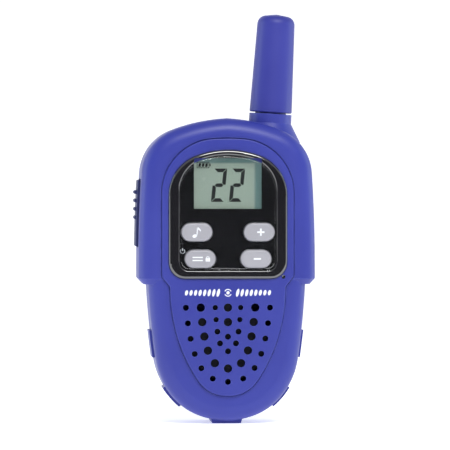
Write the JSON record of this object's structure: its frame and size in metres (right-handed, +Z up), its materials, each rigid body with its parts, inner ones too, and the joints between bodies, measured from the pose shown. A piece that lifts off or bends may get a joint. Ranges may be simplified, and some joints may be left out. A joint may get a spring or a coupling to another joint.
{
  "type": "toy walkie talkie",
  "caption": "Handheld two-way radio with a leaning stub aerial, display, front keys, side talk bar, sound grille, battery door and belt clip.",
  "frame": {"origin": "middle of the flat foot that the radio stands on", "axes": "+Z up towards the aerial, the front face looks along -Y, +X is the right hand of someone facing the front"},
  "size_m": [0.0598, 0.0363, 0.1357],
  "materials": {
    "shell_blue": "satin moulded shell",
    "aerial_blue": "matt soft sleeve",
    "bezel_black": "gloss moulded surround",
    "lens_clear": "clear polished window",
    "lcd_glass": "grey-green liquid crystal glass",
    "guide_clear": "clear moulded light guide",
    "holder_white": "white moulded frame",
    "strip_pink": "striped silicone",
    "key_grey": "satin silicone",
    "mat_grey": "matt silicone",
    "talk_navy": "matt soft bar",
    "board_green": "solder-masked laminate",
    "steel": "plated pressed steel",
    "chip_black": "moulded packages",
    "switch_black": "moulded switch",
    "plunger_white": "moulded plunger",
    "cone_paper": "pressed black paper",
    "cloth_black": "woven dust cloth",
    "gasket_foam": "foam ring",
    "magnet_grey": "sintered magnet under a steel cup",
    "capsule": "drawn can",
    "boot_black": "matt boot",
    "brass": "turned and plated",
    "copper": "enamelled copper wire",
    "core_white": "moulded rod",
    "cell_wrap": "printed sleeve on a steel can",
    "clip_navy": "satin moulded clip"
  },
  "bodies": {
    "housing": {"front_housing": "shell_blue", "rear_housing": "shell_blue", "display_bezel": "bezel_black", "display_lens": "lens_clear", "lcd_panel": "lcd_glass", "light_guide": "guide_clear", "contact_strip": "strip_pink", "lcd_holder": "holder_white", "keypad_mat": "mat_grey", "dome_switches": "steel", "main_board": "board_green", "rf_shield": "steel", "board_chips": "chip_black", "crystal_can": "steel", "talk_switch": "switch_black", "switch_plunger": "plunger_white", "talk_pin": "steel", "speaker_cloth": "cloth_black", "speaker_gasket": "gasket_foam", "speaker_frame": "steel", "speaker_cone": "cone_paper", "speaker_magnet": "magnet_grey", "microphone": "capsule", "microphone_boot": "boot_black", "aerial_sheath": "aerial_blue", "aerial_core": "core_white", "aerial_coil": "copper", "aerial_ferrule": "brass", "aerial_contact": "brass", "battery_cells": "cell_wrap", "contact_springs": "steel", "contact_plates": "steel", "case_screws": "steel"},
    "call_key": {"call_key": "key_grey"},
    "up_key": {"up_key": "key_grey"},
    "menu_key": {"menu_key": "key_grey"},
    "down_key": {"down_key": "key_grey"},
    "talk_bar": {"talk_bar": "talk_navy"},
    "battery_door": {"battery_door": "shell_blue", "latch_pin": "steel"},
    "battery_latch": {"battery_latch": "talk_navy"},
    "belt_clip": {"belt_clip": "clip_navy"}
  },
  "joints": [
    {"name": "call_key_press", "type": "slide", "parent": "housing", "child": "call_key", "axis": [0, 1, 0], "range_m": [0, 0.0006], "stiffness_N_per_m": 1000, "springref_m": -0.0005},
    {"name": "up_key_press", "type": "slide", "parent": "housing", "child": "up_key", "axis": [0, 1, 0], "range_m": [0, 0.0006], "stiffness_N_per_m": 1000, "springref_m": -0.0005},
    {"name": "menu_key_press", "type": "slide", "parent": "housing", "child": "menu_key", "axis": [0, 1, 0], "range_m": [0, 0.0006], "stiffness_N_per_m": 1000, "springref_m": -0.0005},
    {"name": "down_key_press", "type": "slide", "parent": "housing", "child": "down_key", "axis": [0, 1, 0], "range_m": [0, 0.0006], "stiffness_N_per_m": 1000, "springref_m": -0.0005},
    {"name": "talk_bar_press", "type": "hinge", "parent": "housing", "child": "talk_bar", "pos_m": [-0.0257, 0, 0.0604], "axis": [0, 1, 0], "range_deg": [0, 3], "stiffness_Nm_per_rad": 0.6, "springref_deg": -1.72},
    {"name": "battery_door_swing", "type": "hinge", "parent": "housing", "child": "battery_door", "pos_m": [0, 0.0134, 0.0584], "axis": [1, 0, 0], "range_deg": [0, 45]},
    {"name": "battery_latch_swing", "type": "hinge", "parent": "battery_door", "child": "battery_latch", "pos_m": [0, 0.0123, 0.0104], "axis": [-1, 0, 0], "range_deg": [0, 70]},
    {"name": "belt_clip_slide", "type": "slide", "parent": "housing", "child": "belt_clip", "axis": [0, 0, 1], "range_m": [0, 0.016]}
  ]
}
